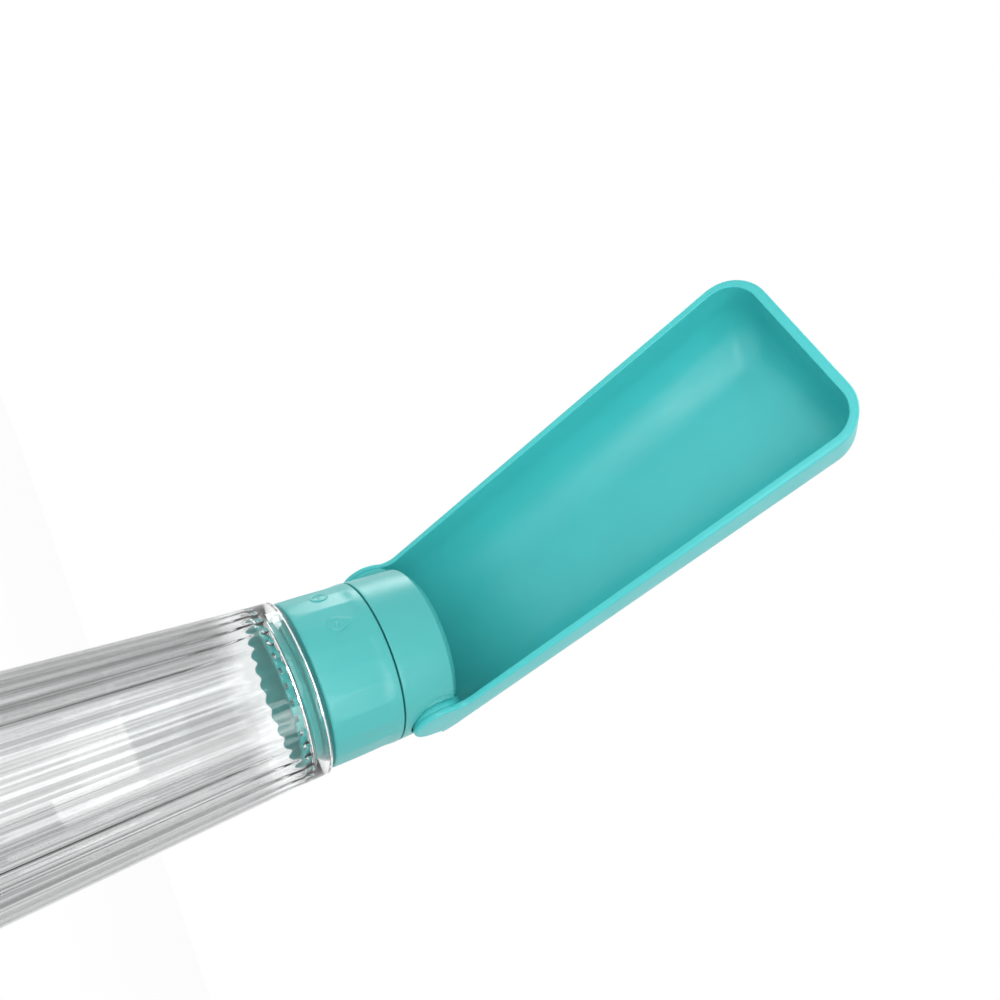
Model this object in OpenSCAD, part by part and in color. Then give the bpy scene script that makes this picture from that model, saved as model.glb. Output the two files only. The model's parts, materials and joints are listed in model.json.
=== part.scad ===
// Travel water bottle for dogs: a clear fluted bottle, a screw-in collar, a head
// that twists to open the valve, and a rigid drinking trough hinged on the head.
// The origin is the centre of the bottle's foot, +Z runs up the bottle's axis,
// the hinge lies along X, and the open trough leans towards -Y.

/* [Bottle] */
// Height of the clear bottle, foot to mouth
bottle_h = 155; // [145:1:190]
// How far the bottle's foot stands out beyond the collar
foot_flare = 3.8; // [3:0.1:5]
// How far the bottle's mouth stands out beyond the collar
mouth_flare = 0.6; // [0.2:0.1:1.5]
// Wall between the outside and the flutes
bottle_wall = 2.6; // [2:0.1:3]
// Thickness of the floor of the bottle
bottle_floor = 7; // [5:0.5:9]
// Number of flutes moulded inside the wall
flute_count = 36; // [24:1:44]
// Depth of a flute
flute_depth = 0.8; // [0.4:0.1:1]

/* [Screw thread] */
// Depth of the plug's tube inside the collar's outer radius
plug_inset = 5.6; // [5.2:0.1:6.2]
// Wall of the plug's tube
plug_wall = 3.6; // [3:0.1:4]
// How far the plug reaches into the bottle
plug_reach = 15; // [14:0.5:18]
// Rise of the thread in one turn
thread_pitch = 3; // [2.8:0.05:3.2]
// Turns of thread
thread_turns = 3; // [2:0.25:3.25]
// Height of a thread
thread_h = 1.2; // [0.9:0.1:1.4]
// Free space left between the tube and the facing thread
thread_gap = 0.5; // [0.4:0.05:0.6]

/* [Collar] */
// Outer radius of the collar and of the head
head_r = 36; // [35.5:0.1:36.4]
// Height of the collar
collar_h = 27.2; // [26.5:0.1:29]
// Number of grip flats round the collar
flat_count = 24; // [18:1:28]
// Depth of a grip flat at its middle
flat_depth = 0.5; // [0.3:0.05:0.6]
// Wall of the collar
collar_wall = 2.8; // [2.2:0.1:3.1]
// Thickness of the mouth gasket
gasket_t = 1.2; // [0.8:0.1:2]
// Gap of the seam between collar and head
seam_gap = 0.6; // [0.4:0.1:1]
// Size of the raised marks on the collar
mark_size = 2.9; // [2:0.1:3.2]
// How far the marks stand out of their flats
mark_height = 0.35; // [0.2:0.05:0.5]

/* [Valve] */
// Number of ports in the valve
port_count = 4; // [2:1:4]
// Radius of a port
port_r = 3.2; // [2.5:0.1:3.4]
// Radius of the circle that the ports lie on
port_circle_r = 15; // [14.5:0.1:16.5]
// Turn of the head from open to closed, in degrees
twist = 30; // [29:1:40]
// Thickness of the valve seat
seat_t = 3; // [2.4:0.1:3.4]
// Thickness of the silicone seal on the seat
seal_t = 1; // [0.8:0.1:1.2]
// Thickness of the turning valve disc
disc_t = 4; // [3.4:0.1:4.3]
// Radius of the centre screw
screw_r = 2; // [1.5:0.1:2.5]
// Radius of the round section of the funnel's seal ring
seal_ring_r = 0.95; // [0.8:0.05:1]

/* [Head] */
// Height of the head
head_h = 23.4; // [22.5:0.1:25]
// Wall of the head
head_wall = 3; // [2.6:0.1:3.2]
// Size of the rounded front edge
head_edge = 2.5; // [1.5:0.1:3]
// Depth of the dish in the head's front face
dish_depth = 1; // [0.6:0.1:1.2]
// Radius of the hole in the outlet nozzle
outlet_r = 4.6; // [4:0.1:5]
// Distance of the outlet from the head's centre
outlet_y = 6.5; // [6:0.1:7]

/* [Hinge] */
// Depth of the hinge axis below the head's front face
pivot_drop = 8.4; // [7.8:0.1:9]
// Distance of the hinge axis from the bottle's axis, towards the opening side
pivot_offset = 2; // [0:0.1:3]
// Lean of the open trough from the bottle's axis, in degrees
open_lean = 48.5; // [42:0.5:60]
// Radius of a hinge ear
ear_r = 11.5; // [10:0.1:11.6]
// Thickness of a hinge ear
ear_t = 6.2; // [6:0.1:6.4]
// Radius of the hollow curve between an ear and the rim
ear_fillet = 7; // [4:0.5:9]
// Radius of a hinge pin
pin_r = 2.5; // [2:0.1:3]
// Radius of a friction washer
washer_r = 7.9; // [7:0.1:9]

/* [Trough] */
// Half of the trough's width at its far end
trough_far_w = 45.7; // [44:0.1:52]
// Room for the bottle's foot inside the end of the folded trough
foot_room = 10.5; // [9:0.1:14]
// Wall of the trough
trough_wall = 2.6; // [2.2:0.1:3]
// Width of the thick rim at the far end
rim_w = 4.5; // [3:0.1:4.6]
// Thickness of the trough's floor
trough_floor = 2.4; // [2:0.1:3]
// Radius between side wall and floor at the hinge
near_round = 31; // [26:1:33]
// Radius between side wall and floor at the far end
far_side_round = 26; // [20:1:32]
// Radius between end wall and floor at the far end
far_end_round = 19; // [14:1:20]
// Radius of the far corners, seen from above the trough
corner_r = 18; // [16:0.5:24]
// How far the walls lean in at the far end, rim to floor
far_draft = 0.4; // [0.2:0.1:2]

/* [Hidden] */
$fn = 96;

// Clearances between pieces
slip = 0.06;         // between a turning shaft and its bore
snug = 0.1;          // between pieces that are fitted into each other
press = 0.02;        // round a pin or screw that is driven in
turn_gap = 0.3;      // between curved faces that turn past each other
side_gap = 0.3;      // between the head and the trough's side walls
sweep_gap = 0.8;     // between the head's corner and the trough as it swings
fold_gap = 1.4;      // between the folded trough and the bottle's foot
stop_gap = 0.3;      // between the open trough's stop and the head
cut = 1;             // how far a cutting shape runs past the face it cuts

// Heights, measured up from the collar's lower edge
collar_z = bottle_h + gasket_t;
head_z = collar_h + seam_gap;
head_top = head_z + head_h;
pivot_h = head_top - pivot_drop;
pivot_z = collar_z + pivot_h;
head_under = head_top - head_wall;
deck_t = 3.2;        // of the collar's top, over the seat
seal_top = collar_h - deck_t;
seat_top = seal_top - seal_t;
plug_top = seat_top - seat_t;
disc_z = seal_top + slip;
disc_top = disc_z + disc_t;
spigot_h = 5.4;      // of the collar's spigot inside the head
spigot_top = head_z + spigot_h;
skirt_top = spigot_top + 0.8;
thread_z = -13;

// Radii of the bottle, and inside the collar and the head
bottle_foot_r = head_r + foot_flare;
bottle_mouth_r = head_r + mouth_flare;
plug_r = head_r - plug_inset;
plug_bore_r = plug_r - plug_wall;
mouth_bore_r = plug_r + thread_h + thread_gap;
collar_in_r = head_r - collar_wall;
spigot_in_r = plug_bore_r - 0.3;
spigot_wall = 2.9;
spigot_r = spigot_in_r + spigot_wall;
lip_t = 1.4;
lip_r = spigot_r + lip_t;
skirt_in_r = lip_r + 0.8;
head_in_r = head_r - head_wall;
sleeve_r = spigot_in_r - turn_gap;
sleeve_in_r = sleeve_r - 3.4;
flat_r = head_r - flat_depth;

// Hinge along X
ear_out = head_r + side_gap + trough_wall;
ear_in = ear_out - ear_t;
pocket_x = ear_in - 0.3;
pocket_r = ear_r + 0.6;
washer_seat = 0.6;
pin_tip = ear_out - 1.4;
pin_head_t = 1.4;
pin_head_r = pin_r + 1.7;
pin_root = sleeve_r + 0.4 + pin_head_t;

// Trough, in its own frame: Z along the trough, Y down to its floor, axis at 0
trough_near_w = ear_out;
trough_len = pivot_z + thread_pitch * thread_turns + foot_room;
corner_y = head_r + pivot_offset - head_edge;
corner_z = head_top - head_edge - pivot_h;
head_corner_r = norm([corner_y, corner_z]) + head_edge;
near_depth = head_corner_r + sweep_gap + trough_floor;
far_depth = bottle_foot_r - pivot_offset + fold_gap + trough_floor;
near_sweep = 33;     // degrees that the near end wraps round the hinge axis
stop_w = 12;
stop_inner_r = head_corner_r - 2;
stop_angle = open_lean - asin((head_top + stop_gap - pivot_h) / stop_inner_r);
rim_fade = 16;       // depth over which the thick rim fades into the wall
hull_fn = 32;

// ---------- helpers ----------

// Points on an arc, [x, y] pairs
function arc(cx, cy, r, from, to, n) =
    [for (i = [0 : n]) [cx + r * cos(from + (to - from) * i / n), cy + r * sin(from + (to - from) * i / n)]];

// Section of a thread at one of its turns; it fades in and out at its ends
function thread_ring(turn, root_r, height, root_w, crest_w) =
    let (
        a = turn * 360,
        z = turn * thread_pitch,
        fade = min(1, min(turn, thread_turns - turn) * 5 + 0.02),
        crest_r = root_r + height * fade
    )
    [for (p = [[root_r, -root_w / 2], [crest_r, -crest_w / 2], [crest_r, crest_w / 2], [root_r, root_w / 2]])
        [p[0] * cos(a), p[0] * sin(a), z + p[1]]];

// Helical ridge that starts at height 0; a negative height points inwards
module thread_ridge(root_r, height, root_w, crest_w) {
    steps = ceil(thread_turns * 36);
    rings = [for (i = [0 : steps]) thread_ring(thread_turns * i / steps, root_r, height, root_w, crest_w)];
    points = [for (ring = rings) for (p = ring) p];
    sides = [for (i = [0 : steps - 1]) for (j = [0 : 3])
        [i * 4 + j, i * 4 + (j + 1) % 4, (i + 1) * 4 + (j + 1) % 4, (i + 1) * 4 + j]];
    last = steps * 4;
    faces = concat(sides, [[3, 2, 1, 0], [last, last + 1, last + 2, last + 3]]);
    turned = [for (f = faces) [for (k = [len(f) - 1 : -1 : 0]) f[k]]];
    polyhedron(points, height > 0 ? faces : turned);
}

// Ring with a rectangular section
module ring(r_out, r_in, z0, z1) {
    rotate_extrude()
        polygon([[r_in, z0], [r_out, z0], [r_out, z1], [r_in, z1]]);
}

// Part of such a ring, centred on the X axis
module ring_sector(r_out, r_in, z0, z1, half_angle) {
    rotate([0, 0, -half_angle])
        rotate_extrude(angle = 2 * half_angle)
            polygon([[r_in, z0], [r_out, z0], [r_out, z1], [r_in, z1]]);
}

// Upright cylinder between two heights
module post(r, z0, z1) {
    translate([0, 0, z0])
        cylinder(h = z1 - z0, r = r);
}

// Places a child at each valve port
module at_ports() {
    for (i = [0 : port_count - 1])
        rotate([0, 0, 90 + i * 360 / port_count])
            translate([port_circle_r, 0, 0])
                children();
}

// Rod along X at the hinge axis, from x0 to x1
module hinge_rod(r, x0, x1) {
    translate([x0, -pivot_offset, pivot_h])
        rotate([0, 90, 0])
            cylinder(h = x1 - x0, r = r);
}

// ---------- bottle ----------

foot_round = 4.5;
foot_ring = 7.5;     // from the foot's edge in to the ring that it stands on
push_up = 3;         // rise of the foot's middle
neck_h = 14;         // straight band below the mouth
hollow_foot_r = bottle_foot_r - bottle_wall;
hollow_mouth_r = bottle_mouth_r - bottle_wall;
hollow_neck = 4;     // from the shoulder of the hollow up to the bore
hollow_top = bottle_h - plug_reach - hollow_neck;
hollow_round = 6;

// Outline of the bottle's outside: push-up, foot ring, wall and mouth
function bottle_outline() = concat(
    [[0, push_up + 0.2], [bottle_foot_r / 2, push_up], [bottle_foot_r - foot_ring * 1.2, push_up * 0.4],
        [bottle_foot_r - foot_ring, 0]],
    arc(bottle_foot_r - foot_round, foot_round, foot_round, -90, 0, 6),
    [[bottle_mouth_r, bottle_h - neck_h], [bottle_mouth_r, bottle_h - 0.8], [bottle_mouth_r - 0.8, bottle_h],
        [0, bottle_h]]
);

// Radius of the fluted hollow at an angle, at the foot
function flute_r(a) = hollow_foot_r - flute_depth / 2 * (1 - cos(flute_count * a));

// Fluted prism that narrows upwards, with a rounded floor and a shoulder
module fluted_hollow() {
    steps = flute_count * 6;
    intersection() {
        translate([0, 0, bottle_floor])
            linear_extrude(height = bottle_h - bottle_floor, scale = hollow_mouth_r / hollow_foot_r)
                polygon([for (i = [0 : steps - 1])
                    flute_r(360 * i / steps) * [cos(360 * i / steps), sin(360 * i / steps)]]);
        rotate_extrude()
            polygon(concat(
                [[0, bottle_floor + 0.2]],
                arc(hollow_foot_r - hollow_round - 0.5, bottle_floor + hollow_round + 0.2, hollow_round, -90, 0, 5),
                [[hollow_foot_r + 1, bottle_floor + 2 * hollow_round],
                    [hollow_foot_r + 1, hollow_top - 3 * hollow_neck], [hollow_mouth_r + 0.2, hollow_top],
                    [mouth_bore_r, hollow_top + hollow_neck], [0, hollow_top + hollow_neck]]
            ));
    }
}

module bottle() {
    color([0.86, 0.92, 0.93, 0.35]) {
        difference() {
            rotate_extrude()
                polygon(bottle_outline());
            fluted_hollow();
            post(mouth_bore_r, hollow_top + 3, bottle_h + cut);
        }
        translate([0, 0, collar_z + thread_z + thread_pitch / 2])
            thread_ridge(mouth_bore_r + 0.4, -thread_h - 0.4, 1.5, 0.7);
    }
}

module mouth_gasket() {
    color([0.07, 0.33, 0.34])
        ring(head_r - 1, plug_r + 0.5, bottle_h, collar_z);
}

// ---------- collar and what it holds ----------

flange_t = 3;
flange_step = 1.1;

module threaded_plug() {
    color([0.30, 0.71, 0.71])
        translate([0, 0, collar_z]) {
            rotate_extrude()
                polygon([
                    [plug_bore_r, -plug_reach], [plug_r - 1, -plug_reach], [plug_r, 1 - plug_reach], [plug_r, 0],
                    [collar_in_r - flange_step, 0], [collar_in_r - flange_step, flange_step + snug],
                    [collar_in_r - snug, flange_step + snug], [collar_in_r - snug, flange_t], [plug_r, flange_t],
                    [plug_r, plug_top], [plug_bore_r, plug_top]
                ]);
            translate([0, 0, thread_z])
                thread_ridge(plug_r - 0.4, thread_h + 0.4, 1.6, 0.8);
        }
}

// Shape that leaves the grip flats; they run out below the collar's top
module flats() {
    run_out = collar_h - 6;
    fade_h = 3.5;
    translate([0, 0, -cut])
        linear_extrude(height = run_out + 2 * cut)
            polygon([for (i = [0 : flat_count - 1])
                flat_r / cos(180 / flat_count) * [cos(360 * i / flat_count), sin(360 * i / flat_count)]]);
    translate([0, 0, run_out])
        cylinder(h = fade_h, r1 = flat_r, r2 = head_r + 0.1);
    post(head_r + cut, run_out + fade_h - 0.1, head_top);
}

// Raised mark in place on a flat, at an angle round the collar
module on_flat(angle, z) {
    rotate([0, 0, angle])
        translate([flat_r - 0.3, 0, z])
            rotate([0, 90, 0])
                linear_extrude(height = mark_height + 0.3)
                    children();
}

// Drop: the sign for open
module drop_mark() {
    difference() {
        union() {
            circle(r = mark_size);
            polygon([[0, -mark_size * 0.94], [0, mark_size * 0.94], [-mark_size * 2, 0]]);
        }
        circle(r = mark_size * 0.6);
    }
}

// Ring with a bar: the sign for closed
module bar_mark() {
    difference() {
        circle(r = mark_size);
        circle(r = mark_size * 0.7);
    }
    square([mark_size * 0.4, mark_size * 1.7], center = true);
}

open_angle = -97.5;
lug_half = 6;        // half-angle of the lug that stops the twist
lug_angle = 90;

module collar() {
    foot_in = 0.7;
    color([0.36, 0.76, 0.75])
        translate([0, 0, collar_z]) {
            intersection() {
                rotate_extrude()
                    polygon(concat(
                        [[collar_in_r - flange_step + snug, 0], [head_r - foot_in - 1.2, 0]],
                        arc(head_r - foot_in - 1.2, 1.2, 1.2, -80, 0, 4),
                        [[head_r, 12], [head_r, collar_h - 0.4], [head_r - 0.4, collar_h], [spigot_r, collar_h],
                            [spigot_r, spigot_top - lip_t], [lip_r, spigot_top - lip_t], [lip_r, spigot_top - 0.5],
                            [lip_r - 0.5, spigot_top], [spigot_in_r, spigot_top], [spigot_in_r, seal_top],
                            [collar_in_r, seal_top], [collar_in_r, flange_step],
                            [collar_in_r - flange_step + snug, flange_step]]
                    ));
                flats();
            }
            rotate([0, 0, lug_angle])
                ring_sector(skirt_in_r - turn_gap, spigot_r - 0.5, collar_h - 0.2, spigot_top - 0.5, lug_half);
            on_flat(open_angle, collar_h / 2)
                drop_mark();
            on_flat(open_angle - twist, collar_h / 2)
                bar_mark();
        }
}

boss_r = screw_r + 4;
boss_z = plug_top - 2 * boss_r * 2 / 3;

module valve_seat() {
    color([0.88, 0.90, 0.90])
        translate([0, 0, collar_z])
            difference() {
                union() {
                    post(plug_r - 1.4, plug_top, seat_top);
                    post(boss_r, boss_z, plug_top + 0.1);
                }
                post(screw_r + press, boss_z + 2, seat_top + cut);
                at_ports()
                    post(port_r, plug_top - cut, seat_top + cut);
            }
}

module seat_seal() {
    color([0.25, 0.27, 0.28])
        translate([0, 0, collar_z])
            difference() {
                ring(plug_r - 1.6, screw_r + 1, seat_top, seal_top);
                at_ports()
                    post(port_r + 0.2, seat_top - cut, seal_top + cut);
            }
}

// ---------- valve and what turns with the head ----------

key_half = 9;
key_top = disc_top + 1.5;

module valve_disc() {
    color([0.93, 0.94, 0.94])
        translate([0, 0, collar_z])
            difference() {
                union() {
                    post(sleeve_r, disc_z, disc_top);
                    for (a = [0, 180])
                        rotate([0, 0, a])
                            ring_sector(sleeve_r - 0.2, sleeve_in_r + 0.2, disc_top - 0.1, key_top, key_half);
                }
                post(screw_r + slip, disc_z - cut, disc_top + cut);
                at_ports()
                    post(port_r, disc_z - cut, disc_top + cut);
            }
}

washer_t = 1.4;
screw_head_z = disc_top + snug + washer_t;
screw_head_t = 2.4;

module centre_screw() {
    color([0.72, 0.73, 0.74])
        translate([0, 0, collar_z])
            difference() {
                union() {
                    post(screw_r, boss_z + 2.5, screw_head_z + 0.1);
                    translate([0, 0, screw_head_z])
                        cylinder(h = screw_head_t, r1 = screw_r + 2.2, r2 = screw_r + 1.6);
                }
                translate([0, 0, screw_head_z + 1])
                    cylinder(h = screw_head_t, r = screw_r * 0.6, $fn = 6);
            }
}

module spring_washer() {
    color([0.66, 0.67, 0.68])
        translate([0, 0, collar_z])
            ring(screw_r + 3.2, screw_r + 0.3, screw_head_z - washer_t, screw_head_z);
}

// Open ring fixed in the head under the spigot's lip; its gap limits the twist
module clip_ring() {
    gap_half = twist / 2 + lug_half + 0.6;
    color([0.30, 0.68, 0.68])
        translate([0, 0, collar_z])
            rotate([0, 0, lug_angle + twist / 2])
                difference() {
                    ring(skirt_in_r - snug, spigot_r + turn_gap, head_z + 0.2, spigot_top - lip_t - snug);
                    ring_sector(skirt_in_r + cut, spigot_r - cut, head_z - cut, spigot_top, gap_half);
                }
}

neck_r = outlet_r + 1.45;
chimney_in_r = outlet_y + neck_r + 0.8;
chimney_r = chimney_in_r + 2;
seal_z = disc_top + 3.2;

// Sleeve that turns in the spigot, narrowing to a chimney under the outlet
module funnel() {
    groove = seal_ring_r + 0.15;
    shoulder_z = skirt_top + 0.3;
    color([0.90, 0.92, 0.92])
        translate([0, 0, collar_z])
            difference() {
                rotate_extrude()
                    polygon([
                        [sleeve_in_r, disc_top + slip], [sleeve_r, disc_top + slip],
                        [sleeve_r, seal_z - groove], [spigot_in_r - 2 * groove + 0.1, seal_z - groove],
                        [spigot_in_r - 2 * groove + 0.1, seal_z + groove], [sleeve_r, seal_z + groove],
                        [sleeve_r, shoulder_z], [chimney_r, shoulder_z + 3.6], [chimney_r, head_under - 0.05],
                        [chimney_in_r, head_under - 0.05], [chimney_in_r, shoulder_z + 2.2],
                        [sleeve_in_r, shoulder_z - 1.6]
                    ]);
                for (a = [0, 180])
                    rotate([0, 0, a])
                        ring_sector(sleeve_r + cut, sleeve_in_r - cut, disc_z, key_top + 0.2, key_half + 0.6);
            }
}

module funnel_seal() {
    color([0.20, 0.21, 0.22])
        translate([0, 0, collar_z + seal_z])
            rotate_extrude()
                translate([spigot_in_r - 0.05 - seal_ring_r, 0])
                    circle(r = seal_ring_r, $fn = 32);
}

// ---------- head ----------

// Behind one ear's pocket: a backing plate and the boss of the pin
module pocket_back() {
    intersection() {
        hinge_rod(pocket_r + 1.4, pocket_x - 2.1, head_in_r + 1);
        translate([0, -head_r, skirt_top - 0.2])
            cube([head_r, 2 * head_r, head_under - skirt_top + 0.4]);
    }
    hinge_rod(pin_r + 4, pin_root, pocket_x);
}

// Everything that is cut from the head's side for one ear
module pocket_cut() {
    hinge_rod(pocket_r, pocket_x, head_r + 5);
    hinge_rod(washer_r + snug, pocket_x - washer_seat, head_r);
    hinge_rod(pin_r + press, pin_root - cut, head_r);
}

dish_r = head_r - head_edge - 3.5;
dish_z = head_top - dish_depth;
vent_y = -outlet_y - 1.5;
vent_stem_r = 1.5;

module head() {
    color([0.38, 0.77, 0.76])
        translate([0, 0, collar_z])
            difference() {
                union() {
                    rotate_extrude()
                        polygon(concat(
                            [[skirt_in_r, head_z], [head_r - 0.4, head_z], [head_r, head_z + 0.4]],
                            arc(head_r - head_edge, head_top - head_edge, head_edge, 0, 90, 6),
                            [[dish_r, head_top], [dish_r - dish_depth, dish_z], [0, dish_z], [0, head_under],
                                [head_in_r, head_under], [head_in_r, skirt_top], [skirt_in_r, skirt_top - 0.4]]
                        ));
                    pocket_back();
                    mirror([1, 0, 0])
                        pocket_back();
                }
                pocket_cut();
                mirror([1, 0, 0])
                    pocket_cut();
                translate([0, outlet_y, 0])
                    post(outlet_r + 1.5, head_under - cut, head_top + cut);
                translate([0, vent_y, 0]) {
                    post(vent_stem_r + snug, head_under - cut, head_top + cut);
                    for (a = [0, 120, 240])
                        rotate([0, 0, a])
                            translate([2.7, 0, 0])
                                post(0.7, head_under - cut, head_top + cut);
                }
            }
}

module outlet_nozzle() {
    color([0.20, 0.56, 0.57])
        translate([0, outlet_y, collar_z])
            rotate_extrude()
                polygon([
                    [outlet_r, head_under - 1.6], [neck_r + 0.6, head_under - 1.6], [neck_r + 0.6, head_under - 0.05],
                    [neck_r, head_under - 0.05], [neck_r, dish_z + 0.02], [neck_r + 1.6, dish_z + 0.02],
                    [neck_r + 1.6, dish_z + 0.9], [neck_r + 0.8, dish_z + 2], [outlet_r + 0.6, dish_z + 2],
                    [outlet_r, dish_z + 1.4]
                ]);
}

// Umbrella valve: a cap over the vent holes, held by a barbed stem
module air_valve() {
    cap_r = 4.2;
    barb_z = head_under - 0.1;
    color([0.22, 0.58, 0.59])
        translate([0, vent_y, collar_z])
            rotate_extrude()
                polygon([
                    [0, barb_z - 2.6], [0.9, barb_z - 2.6], [vent_stem_r + 0.6, barb_z - 0.6],
                    [vent_stem_r + 0.6, barb_z], [vent_stem_r, barb_z], [vent_stem_r, dish_z + 0.05],
                    [cap_r, dish_z + 0.05], [cap_r, dish_z + 0.4], [cap_r * 0.6, dish_z + 1.1], [0, dish_z + 1.3]
                ]);
}

// ---------- hinge ----------

module hinge_pin() {
    color([0.74, 0.75, 0.76])
        translate([0, 0, collar_z]) {
            hinge_rod(pin_r, pin_root - 0.1, pin_tip);
            hinge_rod(pin_head_r, pin_root - pin_head_t, pin_root);
        }
}

module friction_washer() {
    color([0.22, 0.23, 0.24])
        translate([0, 0, collar_z])
            difference() {
                hinge_rod(washer_r, pocket_x - washer_seat, ear_in - 0.05);
                hinge_rod(pin_r + 0.6, pocket_x - washer_seat - cut, ear_in + cut);
            }
}

// ---------- trough ----------

// Flat outline across the trough: half-width w, depth d, floor corners of radius r
function across(w, d, r) = concat(
    [[-w, 0], [w, 0]],
    arc(w - r, d - r, r, 0, 90, 12),
    arc(-w + r, d - r, r, 90, 180, 12)
);

// How far the far end's outline has drawn in at a depth, for a rounding of radius r above a floor at d
function drawn_in(y, d, r) = far_draft * y / d + (y > d - r ? r - sqrt(max(0, r * r - pow(y - d + r, 2))) : 0);

// Far end in layers, from the rim down to the floor: discs at the two far corners
module far_end(rim, wall, floor_inset) {
    d = far_depth - floor_inset;
    side_r = far_side_round - wall;
    end_r = far_end_round - wall;
    for (y = concat([0], [for (a = [0 : 15 : 90]) d - side_r * (1 - sin(a))])) {
        inset = wall + (rim - wall) * max(0, 1 - y / rim_fade);
        side_in = drawn_in(y, d, side_r) + inset;
        end_in = drawn_in(y, d, end_r) + inset;
        r = max(3, corner_r - inset - 0.3 * (side_in + end_in - 2 * inset));
        for (side = [-1, 1])
            translate([side * (trough_far_w - side_in - r), y, trough_len - end_in - r])
                rotate([y > 0 ? 90 : -90, 0, 0])
                    cylinder(h = 0.5, r1 = r, r2 = r - 0.3, $fn = hull_fn);
    }
}

// Trough's body without its hollow, or, with insets, the hollow
module trough_form(rim, wall, floor_inset) {
    hull() {
        linear_extrude(height = 2)
            polygon(across(trough_near_w - wall, near_depth - floor_inset, near_round - wall));
        far_end(rim, wall, floor_inset);
    }
}

// Sweeps a section about the hinge axis, from one angle to another, 0 at the floor
module sweep_about_hinge(from, to) {
    rotate([0, 90, 0])
        rotate([0, 0, 90 + from])
            rotate_extrude(angle = to - from)
                rotate([0, 0, -90])
                    mirror([1, 0])
                        children();
}

// Rounded near end, which clears the head as the trough swings; a fine step marks where it starts
module near_end() {
    step = 0.1;
    outer_w = trough_near_w - step;
    inner_w = trough_near_w - trough_wall + step;
    sweep_about_hinge(-near_sweep, 1)
        difference() {
            polygon(across(outer_w, near_depth - step, near_round - step));
            translate([0, -cut])
                polygon(across(inner_w, near_depth - trough_floor + step + cut, near_round - trough_wall + step));
        }
}

// Rib that rests on the head's back edge when the trough is open
module stop_rib() {
    sweep_about_hinge(-stop_angle, -stop_angle + 4)
        translate([-stop_w / 2, stop_inner_r])
            square([stop_w, near_depth - 1 - stop_inner_r]);
}

// Ear's outline, [along the trough, depth]: a hollow curve up from the rim, then round
function ear_outline() =
    let (
        reach = sqrt(pow(ear_r + ear_fillet, 2) - pow(ear_fillet, 2)),
        meet = atan2(ear_fillet, reach)
    )
    concat(
        arc(reach, -ear_fillet, ear_fillet, 90, 180 - meet, 6),
        arc(0, 0, ear_r, -meet - 8, -270, 30),
        [[reach, 2]]
    );

// Ear at one side: a plate in the trough's wall, and a disc that fills the head's pocket
module ear() {
    wall_in = head_r + side_gap;
    rotate([0, 90, 0]) {
        translate([0, 0, ear_in])
            cylinder(h = wall_in + 0.5 - ear_in, r = ear_r - 0.3);
        translate([0, 0, wall_in + 0.1])
            linear_extrude(height = trough_wall + 0.1)
                mirror([1, 0])
                    polygon(ear_outline());
    }
}

module trough() {
    color([0.27, 0.74, 0.75])
        translate([0, -pivot_offset, pivot_z])
            rotate([open_lean, 0, 0])
                difference() {
                    union() {
                        difference() {
                            trough_form(0, 0, 0);
                            translate([0, -0.5, 0])
                                trough_form(rim_w, trough_wall, trough_floor - 0.5);
                        }
                        near_end();
                        stop_rib();
                        for (side = [0, 1])
                            mirror([side, 0, 0])
                                ear();
                    }
                    for (side = [0, 1])
                        mirror([side, 0, 0])
                            translate([ear_in - cut, 0, 0])
                                rotate([0, 90, 0])
                                    cylinder(h = pin_tip + 0.2 - ear_in + cut, r = pin_r + slip);
                }
}

bottle();
mouth_gasket();
threaded_plug();
collar();
valve_seat();
seat_seal();
valve_disc();
centre_screw();
spring_washer();
clip_ring();
funnel();
funnel_seal();
head();
outlet_nozzle();
air_valve();
mirror([1, 0, 0]) hinge_pin();  // hinge_pin_left
hinge_pin();  // hinge_pin_right
mirror([1, 0, 0]) friction_washer();  // friction_washer_left
friction_washer();  // friction_washer_right
trough();
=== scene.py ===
"""Travel water bottle for dogs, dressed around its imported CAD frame."""

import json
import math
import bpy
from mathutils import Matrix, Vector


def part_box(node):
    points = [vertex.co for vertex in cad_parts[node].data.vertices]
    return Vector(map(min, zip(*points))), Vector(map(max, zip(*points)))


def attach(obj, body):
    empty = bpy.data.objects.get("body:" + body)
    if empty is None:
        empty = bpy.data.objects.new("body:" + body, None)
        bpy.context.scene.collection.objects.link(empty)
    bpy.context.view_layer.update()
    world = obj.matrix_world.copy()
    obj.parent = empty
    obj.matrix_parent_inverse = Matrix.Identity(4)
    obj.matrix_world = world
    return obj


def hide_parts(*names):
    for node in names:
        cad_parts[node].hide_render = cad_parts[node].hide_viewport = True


bl_info = {
    "name": "Dog Water Bottle",
    "version": (1, 0, 0),
    "blender": (4, 5, 0),
    "location": "View3D > Sidebar > Dog Bottle",
    "description": "Models the pieces, finishes and stage of a dog's travel water bottle",
    "category": "Object",
}

from contextlib import contextmanager

import bmesh
import bpy
from bpy.props import FloatProperty, FloatVectorProperty, IntProperty, PointerProperty
from bpy.types import Operator, Panel, PropertyGroup
from mathutils import Matrix, Vector

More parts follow.
